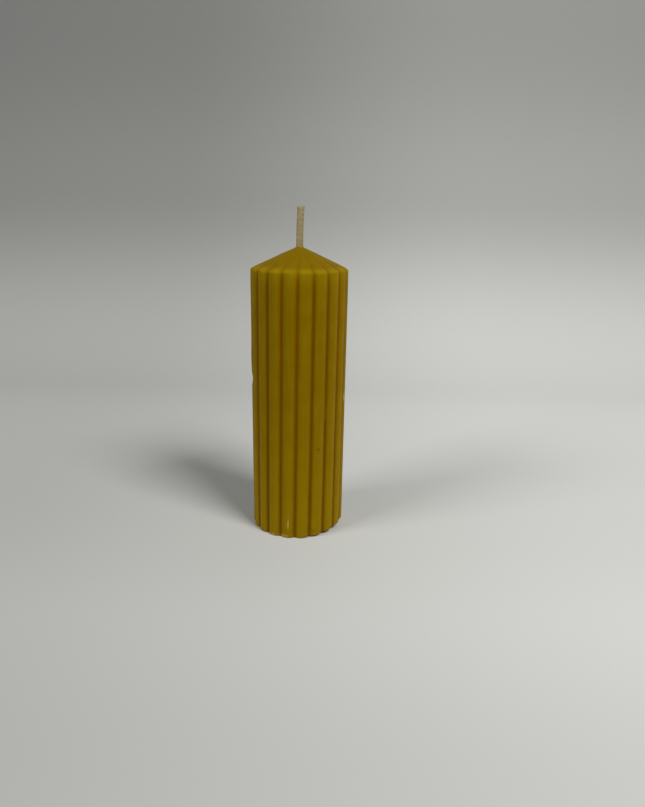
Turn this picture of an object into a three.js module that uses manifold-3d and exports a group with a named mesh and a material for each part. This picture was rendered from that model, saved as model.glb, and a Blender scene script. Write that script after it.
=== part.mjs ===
// Ribbed pillar candle: a solid beeswax casting with a ribbed wall and a fluted cone on top, and the
// square-braided cotton wick that runs down its middle. Millimetres, +Z up, with the origin at the centre
// of the foot, where the candle stands on the table. Half way up, a groove faces -Y, and a rib faces +Y.
import * as THREE from 'three';
import { mergeVertices } from 'three/addons/utils/BufferGeometryUtils.js';
import Module from 'manifold-3d';

// Wax casting
const outerDiameter = 50; // of the circle that the crests of the ribs touch, at the shoulder
const footDiameter = 49; // the same at the foot
const shoulderHeight = 139; // from the table to the edge where the wall turns in to the cone
const coneRise = 11; // from that edge to the small flat round the wick
const ribCount = 19;
const grooveDepth = 1.25; // from the crest of a rib down to the bottom of the hollow beside it
const grooveRadius = 0.5; // of that hollow
const ribWinding = THREE.MathUtils.degToRad(2); // how far the ribs wind round from foot to shoulder
const footRound = 0.6; // rounding of the edge that the casting stands on
const shoulderRound = 1.7; // rounding of the edge below the cone
const tipLand = 0.4; // wax left outside the corners of the wick's channel at the tip of the cone

// Wick
const wickWidth = 3.6; // across the flats of the braid
const wickCorner = 1.2; // rounding of the braid's four corners
const wickClearance = 0.3; // between the wick and the wall of its channel
const wickExposed = 20; // from the tip of the cone to the cut end
const wickRecess = 0.5; // how far the lower end stops short of the table
const wickLean = 0.5; // how far the cut end leans towards +X

// Cutting, and the fineness of curved outlines
const cutOverrun = 2; // how far a cut reaches past the faces that it goes through
const crestSteps = 6;
const grooveSteps = 2;
const cornerSteps = 3;
const edgeSteps = 3;
const leanSteps = 5;

const outerRadius = outerDiameter / 2;
const footRadius = footDiameter / 2;
const waxHeight = shoulderHeight + coneRise;
const squareHeight = shoulderHeight / 2; // where a groove stands exactly over -Y
const channelWidth = wickWidth + 2 * wickClearance;
const channelCorner = wickCorner + wickClearance;
const channelReach = (channelWidth / 2 - channelCorner) * Math.SQRT2 + channelCorner;
const tipRadius = channelReach + tipLand;
const up = new THREE.Vector3(0, 0, 1);

const beeswax = new THREE.MeshStandardMaterial({ color: 0x96790a, roughness: 0.5, metalness: 0 });
const primedCotton = new THREE.MeshStandardMaterial({ color: 0xa8966c, roughness: 0.8, metalness: 0 });

const wasm = await Module();
wasm.setup();

// The points of a circle's arc round a centre, from one angle to another, without its last point.
function arcPoints(centreX, centreY, radius, from, to, steps) {
  const clockwise = to < from;
  const arc = new THREE.ArcCurve(centreX, centreY, radius, from, to, clockwise);
  return arc.getPoints(steps).slice(0, -1);
}

// The casting seen from above: round crests, each running smoothly into the small hollows beside it.
function ribbedOutline() {
  const halfPitch = Math.PI / ribCount;
  const grooveOrbit = outerRadius - grooveDepth + grooveRadius;
  const grooveDrop = outerRadius - grooveOrbit * Math.cos(halfPitch);
  const grooveAside = grooveOrbit * Math.sin(halfPitch);
  const reach = grooveDrop ** 2 + grooveAside ** 2 - grooveRadius ** 2;
  const crestRadius = reach / (2 * (grooveDrop + grooveRadius));
  const crestOrbit = outerRadius - crestRadius;
  // Half of the crest's arc and half of the hollow's, from the middle of each to where they meet.
  const crestHalf = Math.atan2(grooveAside, crestRadius - grooveDrop);
  const grooveHalf = crestHalf - halfPitch;
  const points = [];
  for (let rib = 0; rib < ribCount; rib++) {
    const crest = (2 * rib + 1) * halfPitch - Math.PI / 2;
    const crestX = crestOrbit * Math.cos(crest);
    const crestY = crestOrbit * Math.sin(crest);
    const groove = crest + halfPitch;
    const grooveX = grooveOrbit * Math.cos(groove);
    const grooveY = grooveOrbit * Math.sin(groove);
    const inward = groove + Math.PI;
    points.push(
      ...arcPoints(crestX, crestY, crestRadius, crest - crestHalf, crest + crestHalf, crestSteps),
      ...arcPoints(grooveX, grooveY, grooveRadius, inward + grooveHalf, inward - grooveHalf, grooveSteps),
    );
  }
  return points;
}

// A square with round corners: the wick, or its channel, seen from above.
function braidOutline(width, corner) {
  const cornerOrbit = (width / 2 - corner) * Math.SQRT2;
  const points = [];
  for (let side = 0; side < 4; side++) {
    const from = (side * Math.PI) / 2;
    const to = from + Math.PI / 2;
    const middle = (from + to) / 2;
    const x = cornerOrbit * Math.cos(middle);
    const y = cornerOrbit * Math.sin(middle);
    points.push(...new THREE.ArcCurve(x, y, corner, from, to).getPoints(cornerSteps));
  }
  return points;
}

// Half of the casting cut down the middle: radius and height, from the foot to the flat round the wick.
function waxMeridian() {
  const coneSlope = Math.atan(coneRise / (outerRadius - tipRadius));
  const turn = Math.PI / 2 - coneSlope;
  const turnStart = shoulderHeight - shoulderRound * Math.tan(turn / 2);
  const meridian = new THREE.Path();
  meridian.moveTo(footRadius - footRound, 0);
  meridian.absarc(footRadius - footRound, footRound, footRound, -Math.PI / 2, 0);
  meridian.absarc(outerRadius - shoulderRound, turnStart, shoulderRound, 0, turn);
  meridian.lineTo(tipRadius, waxHeight);
  return meridian.getPoints(edgeSteps);
}

// Extrudes an outline with one step for each ring, then gives each step its ring's size, turn and place.
function loft(outline, rings) {
  const steps = rings.length - 1;
  const options = { depth: steps, steps, bevelEnabled: false };
  const geometry = new THREE.ExtrudeGeometry(new THREE.Shape(outline), options);
  const position = geometry.getAttribute('position');
  const point = new THREE.Vector3();
  for (let i = 0; i < position.count; i++) {
    point.fromBufferAttribute(position, i);
    const { scale = 1, turn = 0, lean = 0, height } = rings[Math.round(point.z)];
    point.setZ(0).multiplyScalar(scale).applyAxisAngle(up, turn);
    position.setXYZ(i, point.x + lean, point.y, height);
  }
  return geometry;
}

// A closed geometry as a solid that can be cut.
function solidFrom(geometry) {
  const bare = geometry.clone();
  bare.deleteAttribute('normal');
  bare.deleteAttribute('uv');
  const merged = mergeVertices(bare);
  const vertProperties = new Float32Array(merged.getAttribute('position').array);
  const triVerts = new Uint32Array(merged.getIndex().array);
  return new wasm.Manifold(new wasm.Mesh({ numProp: 3, vertProperties, triVerts }));
}

// A cut solid as a geometry again, with flat faces.
function geometryFrom(solid) {
  const { vertProperties, triVerts } = solid.getMesh();
  const indexed = new THREE.BufferGeometry();
  indexed.setAttribute('position', new THREE.BufferAttribute(vertProperties, 3));
  indexed.setIndex(new THREE.BufferAttribute(triVerts, 1));
  const geometry = indexed.toNonIndexed();
  geometry.computeVertexNormals();
  return geometry;
}

// The wax: one casting, ribbed on its wall and fluted on its cone, with the wick's channel right through it.
function waxBody() {
  const castingRings = waxMeridian().map(({ x: radius, y: height }) => ({
    scale: radius / outerRadius,
    turn: (ribWinding * (Math.min(height, shoulderHeight) - squareHeight)) / shoulderHeight,
    height,
  }));
  const channelRings = [{ height: -cutOverrun }, { height: waxHeight + cutOverrun }];
  const casting = solidFrom(loft(ribbedOutline(), castingRings));
  const channel = solidFrom(loft(braidOutline(channelWidth, channelCorner), channelRings));
  const mesh = new THREE.Mesh(geometryFrom(casting.subtract(channel)), beeswax);
  mesh.name = 'wax_body';
  return mesh;
}

// The wick: straight inside the wax, then leaning a little more with each step up to its cut end.
function wick() {
  const rings = [{ height: wickRecess }];
  for (let step = 0; step <= leanSteps; step++) {
    const share = step / leanSteps;
    rings.push({ height: waxHeight + wickExposed * share, lean: wickLean * share ** 2 });
  }
  const mesh = new THREE.Mesh(loft(braidOutline(wickWidth, wickCorner), rings), primedCotton);
  mesh.name = 'wick';
  return mesh;
}

const candle = new THREE.Group();
candle.name = 'ribbed_pillar_candle';
candle.add(waxBody(), wick());

export default candle;
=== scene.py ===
import math
import random

import bpy
import numpy as np
from mathutils import Matrix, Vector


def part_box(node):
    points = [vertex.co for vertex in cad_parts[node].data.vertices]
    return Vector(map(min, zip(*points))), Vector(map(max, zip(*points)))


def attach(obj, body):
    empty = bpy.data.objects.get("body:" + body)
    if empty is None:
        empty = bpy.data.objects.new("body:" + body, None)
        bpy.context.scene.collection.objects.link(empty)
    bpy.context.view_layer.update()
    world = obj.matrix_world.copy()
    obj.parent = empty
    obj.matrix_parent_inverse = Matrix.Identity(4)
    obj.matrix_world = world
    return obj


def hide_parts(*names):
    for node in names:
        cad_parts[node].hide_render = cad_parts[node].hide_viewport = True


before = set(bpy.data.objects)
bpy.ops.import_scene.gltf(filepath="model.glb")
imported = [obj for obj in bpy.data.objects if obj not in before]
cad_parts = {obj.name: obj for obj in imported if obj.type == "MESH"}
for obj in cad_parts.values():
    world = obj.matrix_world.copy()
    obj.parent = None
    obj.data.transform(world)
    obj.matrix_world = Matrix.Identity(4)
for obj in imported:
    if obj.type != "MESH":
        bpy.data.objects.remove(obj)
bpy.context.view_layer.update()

scene = bpy.context.scene
scene.view_settings.view_transform = "Standard"
MM = 0.001


# The camera is a phone's, held level with the wick's tip and tipped down at the candle. It is rolled
# by the degree that the candle leans in the photograph, so that the candle itself stands straight.
eye = (18.6 * MM, -352.0 * MM, 169.6 * MM)
look_left = math.radians(0.94)
look_down = math.radians(16.12)
roll = math.radians(0.97)
photo_height = 807
focal_pixels = 683
sensor = 36  # the long side, in the lens's own millimetres

lens = bpy.data.cameras.new("phone_lens")
lens.sensor_width = sensor
lens.lens = sensor * focal_pixels / photo_height
lens.clip_start = 10 * MM
camera = bpy.data.objects.new("phone", lens)
scene.collection.objects.link(camera)
aim = Matrix.Rotation(look_left, 4, "Z") @ Matrix.Rotation(math.pi / 2 - look_down, 4, "X")
camera.matrix_world = Matrix.Translation(eye) @ aim @ Matrix.Rotation(roll, 4, "Z")
scene.camera = camera


# The casting is one block of yellow beeswax, poured upside down in a ribbed rubber mould and pulled out
# when it had set. Its wall, cone and foot are one skin, and the wick's channel runs down the middle.
_, wax_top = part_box("wax_body")
shoulder_radius = wax_top[1]  # a rib stands there, at the back
foot_radius = 24.5 * MM
wax_height = wax_top[2]
shoulder_height = 139 * MM
crown_height = 146.7 * MM  # where the cone grows flatter towards the wick
crown_radius = 8.5 * MM
tip_height = 149.2 * MM  # where it turns up into the wax that climbs the wick
tip_radius = 2.6 * MM
channel_radius = 1.5 * MM  # inside the braid's outline, since the wax has soaked into it
foot_dish = 0.3 * MM  # how far the foot sank in the middle as the wax shrank
rib_count = 19
groove_depth = 1.25 * MM
groove_radius = 0.5 * MM
rib_winding = math.radians(2)


def add(tree, kind, inputs=(), **settings):
    """Adds a node with its settings, sets or links its inputs in turn, and returns its first output."""
    node = tree.nodes.new(kind)
    for name, value in settings.items():
        setattr(node, name, value)
    live = [socket for socket in node.inputs if socket.enabled]
    pairs = inputs.items() if isinstance(inputs, dict) else enumerate(inputs)
    for key, value in pairs:
        socket = node.inputs[key] if isinstance(key, str) else live[key]
        if isinstance(value, bpy.types.NodeSocket):
            tree.links.new(value, socket)
        elif value is not None:
            socket.default_value = value
    return next(socket for socket in node.outputs if socket.enabled)


def start_tree(name, sizes):
    """A new geometry tree with one named input for each size, and the sockets that give those sizes."""
    tree = bpy.data.node_groups.new(name, "GeometryNodeTree")
    for label, value in sizes.items():
        kind = "NodeSocketInt" if isinstance(value, int) else "NodeSocketFloat"
        tree.interface.new_socket(label, in_out="INPUT", socket_type=kind)
    tree.interface.new_socket("Geometry", in_out="OUTPUT", socket_type="NodeSocketGeometry")
    return tree, tree.nodes.new("NodeGroupInput").outputs


def grow(name, tree, sizes):
    """Runs a tree with its sizes on an empty object, and leaves the result as that object's plain mesh."""
    piece = bpy.data.objects.new(name, bpy.data.meshes.new(name))
    scene.collection.objects.link(piece)
    modifier = piece.modifiers.new(name, "NODES")
    modifier.node_group = tree
    for socket in tree.interface.items_tree:
        if socket.in_out == "INPUT":
            modifier[socket.identifier] = sizes[socket.name]
    depsgraph = bpy.context.evaluated_depsgraph_get()
    grown = bpy.data.meshes.new_from_object(
        piece.evaluated_get(depsgraph), preserve_all_data_layers=True, depsgraph=depsgraph
    )
    piece.modifiers.remove(modifier)
    piece.data = grown
    grown.name = name
    return piece


def linear(colour, alpha=1.0):
    """An sRGB hex colour as the linear values that a shader takes."""
    channels = [int(colour[i : i + 2], 16) / 255 for i in (1, 3, 5)]
    return (*[c / 12.92 if c <= 0.04045 else ((c + 0.055) / 1.055) ** 2.4 for c in channels], alpha)


# Half of the pitch between two ribs, and the round crest that just fills it down to the hollow.
half_pitch = math.pi / rib_count
groove_orbit = shoulder_radius - groove_depth + groove_radius
groove_drop = shoulder_radius - groove_orbit * math.cos(half_pitch)
groove_aside = groove_orbit * math.sin(half_pitch)
reach = groove_drop**2 + groove_aside**2 - groove_radius**2
crest_radius = reach / (2 * (groove_drop + groove_radius))
crest_half = math.atan2(groove_aside, crest_radius - groove_drop)

casting_sizes = {
    "Rib Count": rib_count,
    "Crest Steps": 14,
    "Groove Steps": 4,
    "Shoulder Radius": shoulder_radius,
    "Crest Radius": crest_radius,
    "Crest Half Angle": crest_half,
    "Groove Orbit": groove_orbit,
    "Groove Radius": groove_radius,
    "Groove Half Angle": crest_half - half_pitch,
    "Winding": rib_winding,
    "First Rib": half_pitch - math.pi / 2,  # so that a groove faces -Y
    "Foot Radius": foot_radius,
    "Foot Dish": foot_dish,
    "Shoulder Height": shoulder_height,
    "Crown Radius": crown_radius,
    "Crown Height": crown_height,
    "Tip Radius": tip_radius,
    "Tip Height": tip_height,
    "Channel Radius": channel_radius,
    "Wax Height": wax_height,
    "Foot Rounding": 0.6 * MM,
    "Shoulder Rounding": 1.7 * MM,
    "Crown Rounding": 25 * MM,
    "Tip Rounding": 1.2 * MM,
    "Rounding Steps": 6,
    "Row Spacing": 0.75 * MM,
    "Seam Width": 0.001 * MM,  # the sheet's edges meet there
    "Fluting Starts": 2.5 * MM,  # out from the middle of the wick
    "Fluting Full": 25 * MM,
    "Flute Wave": 0.7 * MM,
    "Rim Softening": 9 * MM,
    "Rim Depth": 0.7,  # the share of the ribs' depth that is left at the rim
    "Foot Lift": 2.9 * MM,
    "Lift Starts": 3 * MM,
    "Lift Depth": 6 * MM,
    "Lift Fades": 14 * MM,
    "Wander": math.radians(0.5),  # from one side to the other
    "Wander Length": 34 * MM,
    "Swell": 0.06 * MM,
    "Swell Length": 15 * MM,
    "Seed": 7.0,
}


def casting_tree(wax):
    tree, given = start_tree("ribbed_casting", casting_sizes)
    math_, vector = "ShaderNodeMath", "ShaderNodeVectorMath"

    # Half of the casting's outline cut down the middle, as a closed line of radius and height.
    corners = [
        add(tree, "ShaderNodeCombineXYZ", (given["Channel Radius"], 0.0, given["Foot Dish"])),
        add(tree, "ShaderNodeCombineXYZ", (given["Foot Radius"], 0.0, 0.0)),
        add(tree, "ShaderNodeCombineXYZ", (given["Shoulder Radius"], 0.0, given["Shoulder Height"])),
        add(tree, "ShaderNodeCombineXYZ", (given["Crown Radius"], 0.0, given["Crown Height"])),
        add(tree, "ShaderNodeCombineXYZ", (given["Tip Radius"], 0.0, given["Tip Height"])),
        add(tree, "ShaderNodeCombineXYZ", (given["Channel Radius"], 0.0, given["Wax Height"])),
    ]
    rounded = ["Foot Rounding", "Shoulder Rounding", "Crown Rounding", "Tip Rounding"]
    roundings = [0.0, *[given[name] for name in rounded], 0.0]
    index = add(tree, "GeometryNodeInputIndex")
    picks = {}
    for name, data_type, items in (("corner", "VECTOR", corners), ("rounding", "FLOAT", roundings)):
        pick = tree.nodes.new("GeometryNodeIndexSwitch")
        pick.data_type = data_type
        while len(pick.index_switch_items) < len(items):
            pick.index_switch_items.new()
        tree.links.new(index, pick.inputs["Index"])
        for number, item in enumerate(items):
            if isinstance(item, float):
                pick.inputs[str(number)].default_value = item
            else:
                tree.links.new(item, pick.inputs[str(number)])
        picks[name] = pick.outputs[0]
    line = add(tree, "GeometryNodeCurvePrimitiveLine")
    line = add(tree, "GeometryNodeResampleCurve", {"Curve": line, "Count": len(corners)})
    line = add(tree, "GeometryNodeSetPosition", {"Geometry": line, "Position": picks["corner"]})
    line = add(tree, "GeometryNodeSetSplineCyclic", {"Geometry": line, "Cyclic": True})
    line = add(
        tree,
        "GeometryNodeFilletCurve",
        {"Curve": line, "Count": given["Rounding Steps"], "Radius": picks["rounding"]},
        mode="POLY",
    )

    # Long stretches are divided at the row spacing, apart from the wall of the channel, which is hidden: on
    # it, the radii at both ends of a stretch add up to twice the channel's.
    place = add(tree, "GeometryNodeInputPosition")
    following = tree.nodes.new("GeometryNodeOffsetPointInCurve")
    following.inputs["Offset"].default_value = 1
    after = add(
        tree,
        "GeometryNodeFieldAtIndex",
        {"Value": place, "Index": following.outputs["Point Index"]},
        data_type="FLOAT_VECTOR",
    )
    stretch = add(tree, vector, (place, after), operation="DISTANCE").node.outputs["Value"]
    ends = add(tree, vector, (place, after))
    both_radii = add(tree, "ShaderNodeSeparateXYZ", (ends,))
    just_over_twice = 2.02
    hidden = add(tree, math_, (given["Channel Radius"], just_over_twice), operation="MULTIPLY")
    shows = add(tree, math_, (both_radii, hidden), operation="GREATER_THAN")
    cuts = add(tree, math_, (stretch, given["Row Spacing"]), operation="DIVIDE")
    cuts = add(tree, math_, (cuts, shows), operation="MULTIPLY")
    meridian = add(tree, "GeometryNodeSubdivideCurve", {"Curve": line, "Cuts": cuts})
    row_count = add(tree, "GeometryNodeAttributeDomainSize", (meridian,), component="CURVE")
    row_count = row_count.node.outputs["Point Count"]

    # A sheet with one row for each point of that line, and one column for each step round the ribs.
    steps = add(tree, math_, (given["Crest Steps"], given["Groove Steps"]))
    columns = add(tree, math_, (steps, given["Rib Count"]), operation="MULTIPLY")
    sheet = add(
        tree,
        "GeometryNodeMeshGrid",
        {
            "Size X": columns,
            "Size Y": row_count,
            "Vertices X": add(tree, math_, (columns, 1.0)),
            "Vertices Y": add(tree, math_, (row_count, 1.0)),
        },
    )
    on_sheet = add(tree, "ShaderNodeSeparateXYZ", (place,)).node
    half_columns = add(tree, math_, (columns, 0.5), operation="MULTIPLY")
    half_rows = add(tree, math_, (row_count, 0.5), operation="MULTIPLY")
    column = add(tree, math_, (on_sheet.outputs["X"], half_columns))
    column = add(tree, math_, (column,), operation="ROUND")
    row = add(tree, math_, (on_sheet.outputs["Y"], half_rows))
    row = add(tree, math_, (row,), operation="ROUND")
    row = add(tree, math_, (row, row_count), operation="FLOORED_MODULO")
    on_line = add(
        tree,
        "GeometryNodeSampleIndex",
        {"Geometry": meridian, "Value": place, "Index": row},
        data_type="FLOAT_VECTOR",
    )
    ring = add(tree, "ShaderNodeSeparateXYZ", (on_line,)).node
    radius, height = ring.outputs["X"], ring.outputs["Z"]

    # The ribbed outline at the shoulder's size: round crests, with a small hollow between two of them.
    step = add(tree, math_, (column, steps), operation="FLOORED_MODULO")
    rib = add(tree, math_, (column, steps), operation="DIVIDE")
    rib = add(tree, math_, (rib,), operation="FLOOR")
    crest_angle = add(
        tree, "ShaderNodeMapRange", (step, 0.0, given["Crest Steps"], -1.0, 1.0), clamp=False
    )
    crest_angle = add(tree, math_, (crest_angle, given["Crest Half Angle"]), operation="MULTIPLY")
    crest_rim = add(tree, "ShaderNodeCombineXYZ", (given["Crest Radius"],))
    crest_rim = add(
        tree, "ShaderNodeVectorRotate", {"Vector": crest_rim, "Angle": crest_angle}, rotation_type="Z_AXIS"
    )
    crest_orbit = add(tree, math_, (given["Shoulder Radius"], given["Crest Radius"]), operation="SUBTRACT")
    crest_centre = add(tree, "ShaderNodeCombineXYZ", (crest_orbit,))
    crest = add(tree, vector, (crest_rim, crest_centre))
    groove_angle = add(
        tree, "ShaderNodeMapRange", (step, given["Crest Steps"], steps, 1.0, -1.0), clamp=False
    )
    groove_angle = add(tree, math_, (groove_angle, given["Groove Half Angle"]), operation="MULTIPLY")
    inwards = add(tree, math_, (0.0, given["Groove Radius"]), operation="SUBTRACT")
    groove_rim = add(tree, "ShaderNodeCombineXYZ", (inwards,))
    groove_rim = add(
        tree, "ShaderNodeVectorRotate", {"Vector": groove_rim, "Angle": groove_angle}, rotation_type="Z_AXIS"
    )
    groove_centre = add(tree, "ShaderNodeCombineXYZ", (given["Groove Orbit"],))
    groove = add(tree, vector, (groove_rim, groove_centre))
    pitch = add(tree, math_, (2 * math.pi, given["Rib Count"]), operation="DIVIDE")
    half = add(tree, math_, (pitch, 0.5), operation="MULTIPLY")
    groove = add(tree, "ShaderNodeVectorRotate", {"Vector": groove, "Angle": half}, rotation_type="Z_AXIS")
    in_groove = add(tree, math_, (step, given["Crest Steps"]), operation="GREATER_THAN")
    outline = add(
        tree, "GeometryNodeSwitch", {"Switch": in_groove, "False": crest, "True": groove}, input_type="VECTOR"
    )
    on_outline = add(tree, "ShaderNodeSeparateXYZ", (outline,)).node
    angle = add(tree, math_, (on_outline.outputs["Y"], on_outline.outputs["X"]), operation="ARCTAN2")
    angle = add(tree, math_, (angle, given["Rib Count"]), operation="MULTIPLY")
    wave = add(tree, math_, (angle,), operation="COSINE")

    # The ribs wind a little as they rise. They soften at the rim, turn into waves on the cone, and die away
    # at the wick.
    turn = add(tree, "ShaderNodeMapRange", (height, 0.0, given["Shoulder Height"], -0.5, 0.5))
    turn = add(tree, math_, (turn, given["Winding"], given["First Rib"]), operation="MULTIPLY_ADD")
    turn = add(tree, math_, (rib, pitch, turn), operation="MULTIPLY_ADD")
    outline = add(tree, "ShaderNodeVectorRotate", {"Vector": outline, "Angle": turn}, rotation_type="Z_AXIS")
    outward = add(tree, vector, (outline,), operation="NORMALIZE")
    fluting = add(
        tree,
        "ShaderNodeMapRange",
        (radius, given["Fluting Starts"], given["Fluting Full"], 0.0, 1.0),
        interpolation_type="SMOOTHSTEP",
    )
    rim = add(tree, math_, (given["Shoulder Height"], given["Rim Softening"]), operation="SUBTRACT")
    rim = add(
        tree,
        "ShaderNodeMapRange",
        (height, rim, given["Shoulder Height"], 1.0, given["Rim Depth"]),
        interpolation_type="SMOOTHSTEP",
    )
    fluting = add(tree, math_, (fluting, rim), operation="MULTIPLY")
    wave = add(tree, math_, (wave, given["Flute Wave"]), operation="MULTIPLY")
    wave = add(tree, math_, (wave, fluting, given["Groove Orbit"]), operation="MULTIPLY_ADD")
    smooth = add(tree, vector, {"Vector": outward, "Scale": wave}, operation="SCALE")
    shaped = add(tree, "ShaderNodeMix", (fluting, smooth, outline), data_type="VECTOR")
    size = add(tree, math_, (radius, given["Shoulder Radius"]), operation="DIVIDE")
    shaped = add(tree, vector, {"Vector": shaped, "Scale": size}, operation="SCALE")
    level = add(tree, "ShaderNodeCombineXYZ", (0.0, 0.0, height))
    shaped = add(tree, vector, (shaped, level))

    # A soft mould is never true: the grooves wander to both sides, and the skin sinks here and there. The
    # noise runs from 0 to 1, so what is added to it says how much of the wave goes each way.
    waves = {}
    for name, start in (("Wander", -0.5), ("Swell", 0.35)):
        scale = add(tree, math_, (1.0, given[name + " Length"]), operation="DIVIDE")
        noise = add(
            tree,
            "ShaderNodeTexNoise",
            {"Vector": shaped, "W": given["Seed"], "Scale": scale, "Detail": 1.0},
            noise_dimensions="4D",
        )
        noise = add(tree, math_, (noise, start))
        waves[name] = add(tree, math_, (noise, given[name]), operation="MULTIPLY")
    shaped = add(
        tree, "ShaderNodeVectorRotate", {"Vector": shaped, "Angle": waves["Wander"]}, rotation_type="Z_AXIS"
    )
    inward = add(tree, math_, (0.0, waves["Swell"]), operation="SUBTRACT")
    inward = add(tree, math_, (inward, size), operation="MULTIPLY")
    sink = add(tree, vector, {"Vector": outward, "Scale": inward}, operation="SCALE")
    shaped = add(tree, vector, (shaped, sink))

    # The foot has slumped on the right: towards +X its edge rises off the table, and slopes in under the wax.
    aside = add(tree, "ShaderNodeSeparateXYZ", (shaped,))
    raised = add(
        tree,
        "ShaderNodeMapRange",
        (aside, given["Lift Starts"], given["Foot Radius"], 0.0, given["Foot Lift"]),
    )
    under = add(tree, math_, (given["Foot Radius"], given["Lift Depth"]), operation="SUBTRACT")
    under = add(tree, "ShaderNodeMapRange", (radius, under, given["Foot Radius"], 0.0, 1.0))
    lower = add(tree, "ShaderNodeMapRange", (height, 0.0, given["Lift Fades"], 1.0, 0.0))
    lower = add(tree, math_, (lower, under), operation="MULTIPLY")
    raised = add(tree, math_, (raised, lower), operation="MULTIPLY")
    raised = add(tree, "ShaderNodeCombineXYZ", (0.0, 0.0, raised))
    shaped = add(tree, vector, (shaped, raised))

    # How deep each point lies between the ribs, from 0 on a crest to 1 in a groove, for the shade painted
    # into the grooves' colour.
    along = add(tree, vector, (outline,), operation="LENGTH").node.outputs["Value"]
    depth = add(tree, math_, (given["Shoulder Radius"], given["Groove Orbit"]), operation="SUBTRACT")
    depth = add(tree, math_, (depth, given["Groove Radius"]))
    below = add(tree, math_, (given["Shoulder Radius"], along), operation="SUBTRACT")
    hollow = add(tree, math_, (below, depth), operation="DIVIDE")
    hollow = add(tree, math_, (hollow, fluting), operation="POWER")  # broader on the cone
    hollow = add(tree, math_, (hollow, fluting), operation="MULTIPLY")

    skin = add(
        tree, "GeometryNodeStoreNamedAttribute", {"Geometry": sheet, "Name": "hollow", "Value": hollow}
    )
    skin = add(tree, "GeometryNodeSetPosition", {"Geometry": skin, "Position": shaped})
    skin = add(tree, "GeometryNodeMergeByDistance", {"Geometry": skin, "Distance": given["Seam Width"]})
    skin = add(tree, "GeometryNodeSetShadeSmooth", {"Geometry": skin, "Shade Smooth": True})
    skin = add(tree, "GeometryNodeRealizeInstances", {"Geometry": skin})
    skin = add(tree, "GeometryNodeSetMaterial", {"Geometry": skin, "Material": wax})
    tree.links.new(skin, tree.nodes.new("NodeGroupOutput").inputs["Geometry"])
    return tree


# Knocks, chips and casting faults. Each has its bearing round the wall from the front, in degrees towards
# +X, and its height, half width, half height and depth in millimetres. A negative depth stands proud. A
# scuff is a pale bruise in the wax, and a stain is a dark speck.
marks = [
    dict(bearing=-83.2, height=93.5, half_width=3.0, half_height=7.0, depth=-0.2),
    dict(bearing=-83.7, height=81.5, half_width=2.4, half_height=2.4, depth=0.5, stain=0.25),
    dict(bearing=81.5, height=72.8, half_width=0.8, half_height=2.8, depth=0.12, scuff=0.9),
    dict(bearing=37.9, height=66.9, half_width=1.3, half_height=4.2, depth=-0.5),
    dict(bearing=42.7, height=66.4, half_width=1.2, half_height=4.5, depth=0.3),
    dict(bearing=38.1, height=57.9, half_width=1.0, half_height=3.0, depth=0.25),
    dict(bearing=27.7, height=49.3, half_width=1.3, half_height=1.3, depth=-0.05, scuff=0.3),
    dict(bearing=27.7, height=49.3, half_width=0.75, half_height=0.65, depth=0.55, stain=0.65),
    dict(bearing=5.1, height=57.7, half_width=0.7, half_height=0.7, depth=-0.2, scuff=0.6),
    dict(bearing=-8.8, height=11.8, half_width=0.3, half_height=4.5, depth=0.06, scuff=0.6),
    dict(bearing=-9.4, height=8.0, half_width=0.4, half_height=3.3, depth=0.1, scuff=1.1),
    dict(bearing=-50.8, height=8.4, half_width=0.5, half_height=5.0, depth=0.03, scuff=0.5),
    dict(bearing=-2.5, height=138.5, half_width=0.6, half_height=0.5, depth=0.3, stain=0.3),
    dict(bearing=-5.0, height=138.3, half_width=1.2, half_height=0.7, depth=0.15, scuff=0.25),
    dict(bearing=22.8, height=3.4, half_width=1.1, half_height=0.9, depth=0.3, stain=0.4),
    dict(bearing=-15.0, height=1.2, half_width=3.6, half_height=0.6, depth=0.1, scuff=0.8),
    dict(bearing=-30.0, height=1.0, half_width=3.0, half_height=0.6, depth=0.05, scuff=0.8),
    dict(bearing=17.0, height=22.8, half_width=1.2, half_height=3.0, depth=0.0, stain=0.3),
]
# The far side carries small ones too, in no order.
far_side_seed = 18
far_side_marks = 9
chance = random.Random(far_side_seed)
for _ in range(far_side_marks):
    size = chance.uniform(0.4, 0.9)
    kind = chance.choice(["scuff", "stain"])
    marks.append(
        dict(
            bearing=chance.uniform(95, 265),
            height=chance.uniform(4, 132),
            half_width=size,
            half_height=size * chance.uniform(0.8, 3.0),
            depth=chance.uniform(0.05, 0.3),
            **{kind: chance.uniform(0.2, 0.7)},
        )
    )


def press(mesh, marks):
    """Presses each mark into the mesh, and keeps how much each point is scuffed or stained for the colour."""
    points = np.empty(len(mesh.vertices) * 3)
    mesh.vertices.foreach_get("co", points)
    points = points.reshape(-1, 3)
    wall = points.copy()
    radius = np.hypot(wall[:, 0], wall[:, 1])
    bearing = np.degrees(np.arctan2(wall[:, 0], -wall[:, 1]))
    tints = {name: np.zeros(len(points)) for name in ("scuff", "stain")}
    for mark in marks:
        away = (bearing - mark["bearing"] + 180) % 360 - 180
        aside = np.radians(away) * radius / (mark["half_width"] * MM)
        above = (wall[:, 2] / MM - mark["height"]) / mark["half_height"]
        near = np.exp(-(aside**2) - above**2)
        sink = near * mark["depth"] * MM / np.maximum(radius, channel_radius)
        points[:, :2] -= wall[:, :2] * sink[:, None]
        for name, tint in tints.items():
            np.maximum(tint, near * mark.get(name, 0.0), out=tint)
    mesh.vertices.foreach_set("co", points.ravel())
    for name, tint in tints.items():
        mesh.attributes.new(name, "FLOAT", "POINT").data.foreach_set("value", tint)


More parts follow.
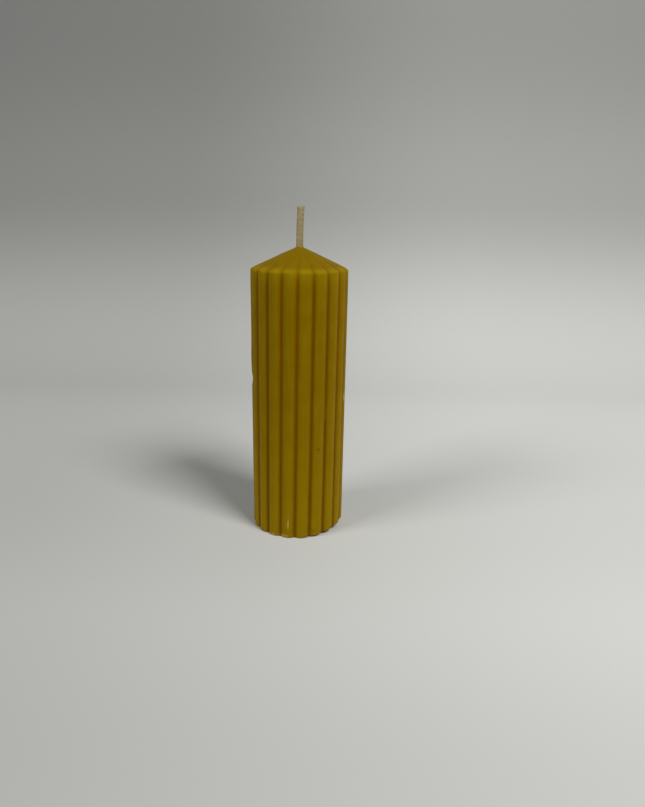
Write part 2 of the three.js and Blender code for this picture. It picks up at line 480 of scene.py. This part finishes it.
def cast_beeswax():
    """
    Filtered yellow beeswax, cast in rubber. Light sinks a millimetre or two into it, red the furthest, so
    edges glow and hollows go brown; a glow along the rim and a brown shade in the grooves are also painted
    into the colour, with painted light on the foot and painted shade on the cone. The skin is satin, a little
    cloudy, and bruises pale.
    """
    cloud_size, streak_width, streak_length = 11 * MM, 1.1 * MM, 30 * MM
    grain_size, ripple_size, crumb_size = 0.7 * MM, 4.5 * MM, 0.8 * MM
    grain_depth, ripple_depth = 0.012 * MM, 0.06 * MM
    # Heights for painted light: the foot grows paler below the first, and a glow lies within the second of
    # the rim.
    painted_bounce_height, painted_rim_glow = 95 * MM, 10 * MM
    cone_shade_edge = 2.5 * MM
    cone_fade = 4.0  # the painted glow dies away this much faster with height on the cone than on the wall
    material = bpy.data.materials.new("cast_yellow_beeswax")
    material.use_nodes = True
    tree = material.node_tree
    shader = tree.nodes["Principled BSDF"]
    math_, texture, attribute = "ShaderNodeMath", "ShaderNodeTexNoise", "ShaderNodeAttribute"
    place = add(tree, "ShaderNodeTexCoord").node.outputs["Object"]
    height = add(tree, "ShaderNodeSeparateXYZ", (place,)).node.outputs["Z"]
    clouds = add(tree, texture, {"Vector": place, "Scale": 1 / cloud_size, "Detail": 3.0})
    ripples = add(tree, texture, {"Vector": place, "Scale": 1 / ripple_size, "Detail": 2.0})
    grain = add(tree, texture, {"Vector": place, "Scale": 1 / grain_size, "Detail": 3.0})
    crumbs = add(tree, texture, {"Vector": place, "Scale": 1 / crumb_size, "Detail": 3.0})
    drawn = (1 / streak_width, 1 / streak_width, 1 / streak_length)
    drawn = add(tree, "ShaderNodeMapping", {"Vector": place, "Scale": drawn})
    streaks = add(tree, texture, {"Vector": drawn, "Scale": 1.0, "Detail": 2.0})
    under_edge = add(tree, math_, (shoulder_height, height), operation="SUBTRACT")
    over_edge = add(tree, math_, (under_edge, -cone_fade), operation="MULTIPLY")
    from_edge = add(tree, math_, (under_edge, over_edge), operation="MAXIMUM")
    hollow = add(tree, attribute, attribute_name="hollow").node.outputs["Fac"]
    stain = add(tree, attribute, attribute_name="stain").node.outputs["Fac"]
    scuff = add(tree, attribute, attribute_name="scuff").node.outputs["Fac"]
    scuff = add(tree, math_, (scuff, crumbs), operation="MULTIPLY")

    # Each layer is what it follows, where that starts and is full, its greatest share, and its colour.
    layers = (
        (clouds, 0.35, 0.65, 1.0, "#836802"),
        (streaks, 0.5, 0.75, 0.25, "#94780A"),
        (height, painted_bounce_height, 0.0, 0.45, "#9A7F06"),  # painted light: paler towards the foot, standing in for light thrown up off the floor
        # painted shade: the cone is a shade darker, taking back the extra light that its upward face gets
        # from the high lamps
        (height, shoulder_height, shoulder_height + cone_shade_edge, 0.6, "#6B5400"),
        # painted glow: paler at the rim, fading down the wall and up the cone, standing in for light shining
        # through the thin edge
        (from_edge, painted_rim_glow, 0.0, 0.38, "#93800A"),
        # painted shade: the grooves go dark brown, standing in for the shade and the reddened bounce light
        # deep between the ribs
        (hollow, 0.22, 1.0, 0.92, "#704700"),
        (scuff, 0.12, 0.4, 0.85, "#B5A468"),
        (stain, 0.05, 0.8, 0.8, "#3E2600"),
    )
    colour = linear("#7D6300")
    for follows, start, full, most, tint in layers:
        share = add(
            tree, "ShaderNodeMapRange", (follows, start, full, 0.0, most), interpolation_type="SMOOTHSTEP"
        )
        colour = add(tree, "ShaderNodeMix", (share, colour, linear(tint)), data_type="RGBA")
    tree.links.new(colour, shader.inputs["Base Color"])

    shine = add(tree, "ShaderNodeMapRange", (ripples, 0.3, 0.7, 0.54, 0.68))
    shine = add(tree, math_, (scuff, 0.5, shine), operation="MULTIPLY_ADD")
    tree.links.new(shine, shader.inputs["Roughness"])
    relief = add(tree, "ShaderNodeBump", {"Distance": ripple_depth, "Height": ripples})
    relief = add(tree, "ShaderNodeBump", {"Distance": grain_depth, "Height": grain, "Normal": relief})
    tree.links.new(relief, shader.inputs["Normal"])
    shader.inputs["IOR"].default_value = 1.44
    shader.inputs["Specular IOR Level"].default_value = 0.12
    shader.inputs["Specular Tint"].default_value = linear("#FFD83C")
    shader.inputs["Subsurface Weight"].default_value = 0.8
    shader.inputs["Subsurface Radius"].default_value = (1.0, 0.5, 0.1)
    shader.inputs["Subsurface Scale"].default_value = 1.0 * MM
    return material


wax = cast_beeswax()
casting = grow("beeswax_casting", casting_tree(wax), casting_sizes)
press(casting.data, marks)
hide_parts("wax_body")
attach(casting, "root")


# The wick is a square braid of eight cotton strands round a core, dipped in wax before the wax was poured
# round it, and cut straight across. The cut end frays a little.
wick_low, wick_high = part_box("wick")
wick_lean = wick_high[0] + wick_low[0]  # its far side reaches out by half a width and this lean
slant_reach = 0.6 * MM  # a strand slants, so a corner of its flat end stands this much past its middle
fringe_room = 0.6 * MM  # over the braid, for the yarn ends
braid_sizes = {
    "Strand Count": 8,
    "Bottom": wick_low[2] + slant_reach,
    "Top": wick_high[2] - slant_reach - fringe_room,
    "Point Spacing": 0.42 * MM,
    "Orbit": 1.42 * MM,
    "Weave": 0.06 * MM,  # how far a strand dips and rises as it passes under and over
    "Turn Height": 10 * MM,
    "Strand Width": 1.85 * MM,
    "Strand Thickness": 0.62 * MM,
    "Strand Sides": 12,
    "Core Width": 3.3 * MM,
    "Lean Starts": tip_height,
    "Lean": wick_lean,
}


def braid_tree(cotton):
    tree, given = start_tree("square_braid", braid_sizes)
    math_, vector = "ShaderNodeMath", "ShaderNodeVectorMath"
    foot = add(tree, "ShaderNodeCombineXYZ", (0.0, 0.0, given["Bottom"]))
    head = add(tree, "ShaderNodeCombineXYZ", (0.0, 0.0, given["Top"]))
    line = add(tree, "GeometryNodeCurvePrimitiveLine", {"Start": foot, "End": head})
    line = add(
        tree, "GeometryNodeResampleCurve", {"Curve": line, "Length": given["Point Spacing"]}, mode="LENGTH"
    )
    strands = add(
        tree,
        "GeometryNodeDuplicateElements",
        {"Geometry": line, "Amount": given["Strand Count"]},
        domain="SPLINE",
    )
    number = strands.node.outputs["Duplicate Index"]
    place = add(tree, "GeometryNodeInputPosition")
    height = add(tree, "ShaderNodeSeparateXYZ", (place,)).node.outputs["Z"]

    # The cut end leans over, further with each millimetre above the wax.
    share = add(tree, "ShaderNodeMapRange", (height, given["Lean Starts"], given["Top"], 0.0, 1.0))
    aside = add(tree, math_, (share, 2.0), operation="POWER")
    aside = add(tree, math_, (aside, given["Lean"]), operation="MULTIPLY")
    lean = add(tree, "ShaderNodeCombineXYZ", (aside,))

    # Half of the strands wind one way and half the other, and each passes over and under the others.
    half = add(tree, math_, (given["Strand Count"], 0.5), operation="MULTIPLY")
    way = add(tree, math_, (number, half), operation="LESS_THAN")
    way = add(tree, math_, (way, 2.0, -1.0), operation="MULTIPLY_ADD")
    pitch = add(tree, math_, (2 * math.pi, half), operation="DIVIDE")
    wound = add(tree, math_, (height, given["Turn Height"]), operation="DIVIDE")
    wound = add(tree, math_, (wound, 2 * math.pi), operation="MULTIPLY")
    angle = add(tree, math_, (way, wound), operation="MULTIPLY")
    angle = add(tree, math_, (number, pitch, angle), operation="MULTIPLY_ADD")
    beat = add(tree, math_, (wound, half), operation="MULTIPLY")
    beat = add(tree, math_, (beat,), operation="COSINE")
    dip = add(tree, math_, (beat, way), operation="MULTIPLY")
    orbit = add(tree, math_, (dip, given["Weave"], given["Orbit"]), operation="MULTIPLY_ADD")

    # The fourth powers of sine and cosine push the round out into a square with soft corners.
    sides = []
    for operation in ("COSINE", "SINE"):
        side = add(tree, math_, (angle,), operation=operation)
        sides.append(add(tree, math_, (side, 4.0), operation="POWER"))
    square = add(tree, math_, tuple(sides))
    square = add(tree, math_, (square, -0.25), operation="POWER")
    orbit = add(tree, math_, (orbit, square), operation="MULTIPLY")
    route = add(tree, "ShaderNodeCombineXYZ", (orbit, 0.0, height))
    route = add(tree, "ShaderNodeVectorRotate", {"Vector": route, "Angle": angle}, rotation_type="Z_AXIS")
    route = add(tree, vector, (route, lean))
    strands = add(tree, "GeometryNodeSetPosition", {"Geometry": strands, "Position": route})
    strands = add(tree, "GeometryNodeSetCurveNormal", (strands,), mode="Z_UP")

    # Each strand and the core is a bundle of yarn. Its length and its width are kept for the yarn's lay.
    core = add(tree, "GeometryNodeSetPosition", {"Geometry": line, "Offset": lean})
    along = add(tree, "GeometryNodeSplineParameter").node.outputs["Length"]
    across = add(tree, "ShaderNodeSeparateXYZ", (place,)).node.outputs["Y"]
    bundles = []
    for route, thickness, width in (
        (strands, given["Strand Thickness"], given["Strand Width"]),
        (core, given["Core Width"], given["Core Width"]),
    ):
        sides = {"Resolution": given["Strand Sides"], "Radius": 0.5}
        ring = add(tree, "GeometryNodeCurvePrimitiveCircle", sides)
        ring = add(
            tree, "GeometryNodeStoreNamedAttribute", {"Geometry": ring, "Name": "across", "Value": across}
        )
        section = add(tree, "ShaderNodeCombineXYZ", (thickness, width, 1.0))
        ring = add(tree, "GeometryNodeTransform", {"Geometry": ring, "Scale": section})
        route = add(
            tree, "GeometryNodeStoreNamedAttribute", {"Geometry": route, "Name": "along", "Value": along}
        )
        bundles.append(
            add(tree, "GeometryNodeCurveToMesh", {"Curve": route, "Profile Curve": ring, "Fill Caps": True})
        )
    braid = tree.nodes.new("GeometryNodeJoinGeometry")
    for bundle in bundles:
        tree.links.new(bundle, braid.inputs["Geometry"])
    braid = braid.outputs["Geometry"]
    braid = add(tree, "GeometryNodeSetShadeSmooth", {"Geometry": braid, "Shade Smooth": True})
    braid = add(tree, "GeometryNodeRealizeInstances", {"Geometry": braid})
    braid = add(tree, "GeometryNodeSetMaterial", {"Geometry": braid, "Material": cotton})
    tree.links.new(braid, tree.nodes.new("NodeGroupOutput").inputs["Geometry"])
    return tree


def primed_cotton():
    """Braided cotton yarn, stiff with wax: cream, with a dull sheen, darker in the creases of the braid."""
    yarn_count, yarn_lay, yarn_depth = 6, 4.0 * MM, 0.04 * MM
    fibre_size, fibre_depth = 0.12 * MM, 0.02 * MM  # cotton's own are finer, and wouldn't show
    fuzz_size, soaked_height = 1.6 * MM, 5 * MM
    material = bpy.data.materials.new("wax_primed_cotton_braid")
    material.use_nodes = True
    tree = material.node_tree
    shader = tree.nodes["Principled BSDF"]
    math_, texture, attribute = "ShaderNodeMath", "ShaderNodeTexNoise", "ShaderNodeAttribute"
    place = add(tree, "ShaderNodeTexCoord").node.outputs["Object"]
    height = add(tree, "ShaderNodeSeparateXYZ", (place,)).node.outputs["Z"]
    fuzz = add(tree, texture, {"Vector": place, "Scale": 1 / fuzz_size, "Detail": 3.0})
    shade = add(tree, "ShaderNodeMapRange", (fuzz, 0.3, 0.7))
    colour = add(tree, "ShaderNodeMix", (shade, linear("#94865F"), linear("#A0926B")), data_type="RGBA")
    soaked = add(
        tree,
        "ShaderNodeMapRange",
        (height, tip_height, tip_height + soaked_height, 0.7, 0.0),
        interpolation_type="SMOOTHSTEP",
    )
    colour = add(tree, "ShaderNodeMix", (soaked, colour, linear("#9A8440")), data_type="RGBA")
    tree.links.new(colour, shader.inputs["Base Color"])

    # Yarns lie side by side in each strand, with a slow twist.
    along = add(tree, attribute, attribute_name="along").node.outputs["Fac"]
    across = add(tree, attribute, attribute_name="across").node.outputs["Fac"]
    turns = add(tree, math_, (along, 1 / yarn_lay), operation="MULTIPLY")
    turns = add(tree, math_, (across, yarn_count, turns), operation="MULTIPLY_ADD")
    turns = add(tree, math_, (turns, 2 * math.pi), operation="MULTIPLY")
    yarn = add(tree, math_, (turns,), operation="SINE")
    relief = add(tree, "ShaderNodeBump", {"Distance": yarn_depth, "Height": yarn})
    fibres = add(tree, texture, {"Vector": place, "Scale": 1 / fibre_size, "Detail": 2.0})
    relief = add(tree, "ShaderNodeBump", {"Distance": fibre_depth, "Height": fibres, "Normal": relief})
    tree.links.new(relief, shader.inputs["Normal"])
    shader.inputs["Roughness"].default_value = 0.7
    shader.inputs["IOR"].default_value = 1.44
    shader.inputs["Subsurface Weight"].default_value = 0.3
    shader.inputs["Subsurface Radius"].default_value = (1.0, 0.8, 0.5)
    shader.inputs["Subsurface Scale"].default_value = 0.4 * MM
    return material


cotton = primed_cotton()
braid = grow("cotton_braid", braid_tree(cotton), braid_sizes)
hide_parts("wick")
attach(braid, "root")

# The knife leaves a fringe of loose yarn ends round the cut. They are the braid's own cotton, a tenth of a
# millimetre thick, and splay and curl a little once nothing holds them.
fringe_sizes = {
    "Fibre Count": 44,
    "Root Height": wick_high[2] - 2.1 * MM,
    "Half Width": 1.6 * MM,  # of the square that they grow from
    "Fibre Points": 7,
    "Fibre Sides": 5,
    "Shortest": 0.9 * MM,
    "Longest": 1.9 * MM,
    "Splay": 0.55,  # sideways run for each millimetre up, at the edge of the cut
    "Stray": 0.35,  # the same at random
    "Curl": 0.35 * MM,
    "Curl Length": 1.2 * MM,
    "Thickness": 0.11 * MM,
    "Ceiling": wick_high[2] - 0.55 * MM,  # where the knife went
    "Lean": wick_lean,
    "Seed": 5,
}


def fringe_tree(cotton):
    tree, given = start_tree("cut_fringe", fringe_sizes)
    math_, vector = "ShaderNodeMath", "ShaderNodeVectorMath"
    spread = add(
        tree,
        "FunctionNodeRandomValue",
        {"Min": (-1.0, -1.0, 0.0), "Max": (1.0, 1.0, 0.0), "Seed": given["Seed"]},
        data_type="FLOAT_VECTOR",
    )
    root = add(tree, vector, {"Vector": spread, "Scale": given["Half Width"]}, operation="SCALE")
    base = add(tree, "ShaderNodeCombineXYZ", (given["Lean"], 0.0, given["Root Height"]))
    root = add(tree, vector, (root, base))
    roots = add(tree, "GeometryNodePoints", {"Count": given["Fibre Count"], "Position": root})
    splay = add(tree, vector, {"Vector": spread, "Scale": given["Splay"]}, operation="SCALE")
    stray = add(
        tree,
        "FunctionNodeRandomValue",
        {"Min": (-1.0, -1.0, 0.0), "Max": (1.0, 1.0, 0.0), "Seed": add(tree, math_, (given["Seed"], 1.0))},
        data_type="FLOAT_VECTOR",
    )
    stray = add(tree, vector, {"Vector": stray, "Scale": given["Stray"]}, operation="SCALE")
    heading = add(tree, vector, (splay, stray))
    heading = add(tree, vector, (heading, (0.0, 0.0, 1.0)))
    turn = add(tree, "FunctionNodeAlignRotationToVector", {"Vector": heading}, axis="Z")
    length = add(
        tree,
        "FunctionNodeRandomValue",
        {"Min": given["Shortest"], "Max": given["Longest"], "Seed": given["Seed"]},
        data_type="FLOAT",
    )
    fibre = add(tree, "GeometryNodeCurvePrimitiveLine", {"End": (0.0, 0.0, 1.0)})
    fibre = add(tree, "GeometryNodeResampleCurve", {"Curve": fibre, "Count": given["Fibre Points"]})
    fibres = add(
        tree,
        "GeometryNodeInstanceOnPoints",
        {"Points": roots, "Instance": fibre, "Rotation": turn, "Scale": length},
    )
    fibres = add(tree, "GeometryNodeRealizeInstances", {"Geometry": fibres})

    # Each curls away from its root, and none stands higher than the ceiling.
    share = add(tree, "GeometryNodeSplineParameter").node.outputs["Factor"]
    place = add(tree, "GeometryNodeInputPosition")
    scale = add(tree, math_, (1.0, given["Curl Length"]), operation="DIVIDE")
    sway = add(tree, "ShaderNodeTexNoise", {"Vector": place, "Scale": scale}).node.outputs["Color"]
    sway = add(tree, vector, (sway, (0.5, 0.5, 0.5)), operation="SUBTRACT")
    sway = add(tree, vector, {"Vector": sway, "Scale": given["Curl"]}, operation="SCALE")
    sway = add(tree, vector, {"Vector": sway, "Scale": share}, operation="SCALE")
    swayed = add(tree, vector, (place, sway))
    top = add(tree, "ShaderNodeCombineXYZ", (1.0, 1.0, given["Ceiling"]))
    swayed = add(tree, vector, (swayed, top), operation="MINIMUM")
    fibres = add(tree, "GeometryNodeSetPosition", {"Geometry": fibres, "Position": swayed})
    half = add(tree, math_, (given["Thickness"], 0.5), operation="MULTIPLY")
    ring = {"Resolution": given["Fibre Sides"], "Radius": half}
    ring = add(tree, "GeometryNodeCurvePrimitiveCircle", ring)
    fringe = add(tree, "GeometryNodeCurveToMesh", {"Curve": fibres, "Profile Curve": ring, "Fill Caps": True})
    fringe = add(tree, "GeometryNodeSetShadeSmooth", {"Geometry": fringe, "Shade Smooth": True})
    fringe = add(tree, "GeometryNodeRealizeInstances", {"Geometry": fringe})
    fringe = add(tree, "GeometryNodeSetMaterial", {"Geometry": fringe, "Material": cotton})
    tree.links.new(fringe, tree.nodes.new("NodeGroupOutput").inputs["Geometry"])
    return tree


fringe = grow("yarn_ends", fringe_tree(cotton), fringe_sizes)
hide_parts("wick")
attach(fringe, "root")


# The floor is a sheet of pale card that sweeps up behind the candle. It is shaded off to the left and
# upwards, as the daylight in the photograph falls.
floor_half = 3.0
sweep_start = 0.28
sweep_radius = 0.32
sweep_steps = 16
sweep_top = 2.0


def shaded_card():
    """Matt pale card with painted shade: darker to the left, towards the front and upwards, as the lamps'
    light falls off. It keeps a plain tone round the candle.
    """
    material = bpy.data.materials.new("shaded_card")
    material.use_nodes = True
    tree = material.node_tree
    shader = tree.nodes["Principled BSDF"]
    place = add(tree, "ShaderNodeTexCoord").node.outputs["Object"]
    place = add(tree, "ShaderNodeSeparateXYZ", (place,)).node
    colour = linear("#E9EAE5")
    # Each shade is the axis that it follows, where it starts and ends, and the grey that it multiplies by.
    shades = (
        ("X", 0.2, -0.2, "#DADADA"),
        ("Y", 0.25, -0.05, "#E4E4E4"),
        ("Y", -0.08, -0.2, "#EEEEEE"),
        ("Z", 0.0, 0.19, "#C8C8C8"),
        ("Z", 0.17, 0.4, "#E7E7E7"),
    )
    # Each shade paints darkness into the card where the lamps' light falls off.
    for axis, start, end, grey in shades:
        fade = add(
            tree,
            "ShaderNodeMapRange",
            (place.outputs[axis], start, end, 0.0, 1.0),
            interpolation_type="SMOOTHSTEP",
        )
        colour = add(
            tree, "ShaderNodeMix", (fade, colour, linear(grey)), data_type="RGBA", blend_type="MULTIPLY"
        )
    tree.links.new(colour, shader.inputs["Base Color"])
    shader.inputs["Roughness"].default_value = 0.9
    return material


profile = [(-floor_half, 0.0), (sweep_start, 0.0)]
for i in range(1, sweep_steps + 1):
    bend = math.pi / 2 * i / sweep_steps
    profile.append((sweep_start + sweep_radius * math.sin(bend), sweep_radius * (1 - math.cos(bend))))
profile.append((sweep_start + sweep_radius, sweep_top))
card_points = [(x, y, z) for y, z in profile for x in (-floor_half, floor_half)]
card_faces = [(2 * i, 2 * i + 1, 2 * i + 3, 2 * i + 2) for i in range(len(profile) - 1)]
card_mesh = bpy.data.meshes.new("card")
card_mesh.from_pydata(card_points, [], card_faces)
card_mesh.shade_smooth()
card_mesh.materials.append(shaded_card())
card = bpy.data.objects.new("card", card_mesh)
scene.collection.objects.link(card)


# Two big soft lamps stand in front, as two windows would. The stronger one is to the right and higher,
# and throws the darker shadow, back to the left. A dim sky fills both shadows.
def soft_lamp(name, bearing, elevation, distance, size, share):
    """A square lamp that gives the floor at the candle this share of full light, 1 being a white floor."""
    lamp = bpy.data.lights.new(name, "AREA")
    lamp.size = size
    slant = math.sin(math.radians(elevation))
    lamp.energy = share * math.pi**2 * distance**2 / slant
    holder = bpy.data.objects.new(name, lamp)
    turn = Matrix.Rotation(math.radians(bearing), 4, "Z")
    tip = Matrix.Rotation(math.radians(90 - elevation), 4, "X")
    holder.matrix_world = turn @ tip @ Matrix.Translation((0, 0, distance))
    scene.collection.objects.link(holder)


soft_lamp("right_window", bearing=43, elevation=51, distance=1.1, size=0.38, share=0.61)
soft_lamp("left_window", bearing=-56, elevation=37, distance=1.1, size=0.45, share=0.25)
sky_strength = 0.055  # where 1 is white
world = bpy.data.worlds.new("room")
scene.world = world
world.use_nodes = True
sky = world.node_tree.nodes["Background"]
sky.inputs["Color"].default_value = linear("#FFFFFF")
sky.inputs["Strength"].default_value = sky_strength
